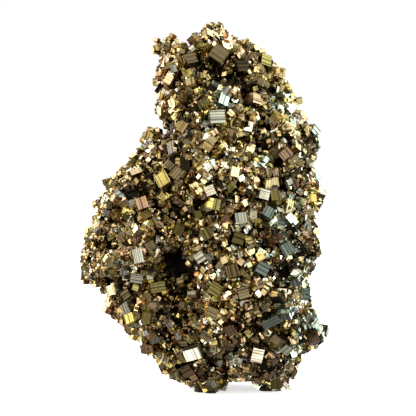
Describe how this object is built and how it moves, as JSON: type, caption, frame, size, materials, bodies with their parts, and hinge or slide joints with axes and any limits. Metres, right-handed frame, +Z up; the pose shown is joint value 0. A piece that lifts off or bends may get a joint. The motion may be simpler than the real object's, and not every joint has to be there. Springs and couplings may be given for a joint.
{
  "type": "pyrite specimen",
  "caption": "Upright mass of intergrown brass-coloured pyrite cubes, with its larger crystals as pieces of their own, resting on two small flat feet.",
  "frame": {"origin": "middle of the specimen's box, seen from above, at the level of the surface that its two feet rest on", "axes": "+Z up along the height of the standing specimen, +Y from its front to its back, +X to the right seen from the front"},
  "size_m": [0.0844, 0.0618, 0.1236],
  "materials": {
    "pyrite_pale": "bright pale brass metallic lustre, striated faces",
    "pyrite_brass": "brass-yellow metallic lustre, striated faces",
    "pyrite_copper": "copper-brown tarnish over metallic lustre",
    "pyrite_brown": "dark brown tarnish over metallic lustre",
    "pyrite_olive": "olive tarnish over metallic lustre",
    "pyrite_dark": "near-black tarnish over metallic lustre",
    "pyrite_teal": "grey-green tarnish over metallic lustre"
  },
  "bodies": {
    "root": {"pyrite_mass": "pyrite_brass", "back_crystal_1": "pyrite_brass", "back_crystal_2": "pyrite_brown", "back_crystal_3": "pyrite_olive", "back_crystal_4": "pyrite_pale", "back_crystal_5": "pyrite_copper", "back_crystal_6": "pyrite_brass", "back_crystal_7": "pyrite_brown", "back_crystal_8": "pyrite_olive", "back_crystal_9": "pyrite_pale", "back_crystal_10": "pyrite_copper", "back_crystal_11": "pyrite_brass", "back_crystal_12": "pyrite_brown", "back_crystal_13": "pyrite_olive", "back_crystal_14": "pyrite_pale", "back_crystal_15": "pyrite_copper", "back_crystal_16": "pyrite_brass", "back_crystal_17": "pyrite_brown", "crown_crystal_1": "pyrite_brass", "crown_crystal_2": "pyrite_dark", "crown_crystal_3": "pyrite_dark", "foot_crystal_1": "pyrite_brass", "foot_crystal_2": "pyrite_pale", "foot_crystal_3": "pyrite_pale", "foot_crystal_4": "pyrite_pale", "lower_crystal_1": "pyrite_olive", "lower_crystal_2": "pyrite_brass", "lower_crystal_3": "pyrite_pale", "lower_crystal_4": "pyrite_olive", "lower_crystal_5": "pyrite_brass", "lower_crystal_6": "pyrite_copper", "lower_crystal_7": "pyrite_teal", "middle_crystal_1": "pyrite_teal", "middle_crystal_2": "pyrite_olive", "middle_crystal_3": "pyrite_pale", "middle_crystal_4": "pyrite_pale", "middle_crystal_5": "pyrite_pale", "middle_crystal_6": "pyrite_brown", "middle_crystal_7": "pyrite_teal", "middle_crystal_8": "pyrite_olive", "ridge_crystal_1": "pyrite_brass", "ridge_crystal_2": "pyrite_pale", "ridge_crystal_3": "pyrite_pale", "ridge_crystal_4": "pyrite_teal", "ridge_crystal_5": "pyrite_pale", "ridge_crystal_6": "pyrite_pale", "ridge_crystal_7": "pyrite_olive", "ridge_crystal_8": "pyrite_olive", "shoulder_crystal_1": "pyrite_copper", "shoulder_crystal_2": "pyrite_brass", "shoulder_crystal_3": "pyrite_olive", "shoulder_crystal_4": "pyrite_copper", "tower_crystal_1": "pyrite_copper", "tower_crystal_2": "pyrite_brass", "tower_crystal_3": "pyrite_pale", "tower_crystal_4": "pyrite_teal", "tower_crystal_5": "pyrite_copper", "tower_crystal_6": "pyrite_copper", "tower_crystal_7": "pyrite_pale"}
  },
  "joints": []
}
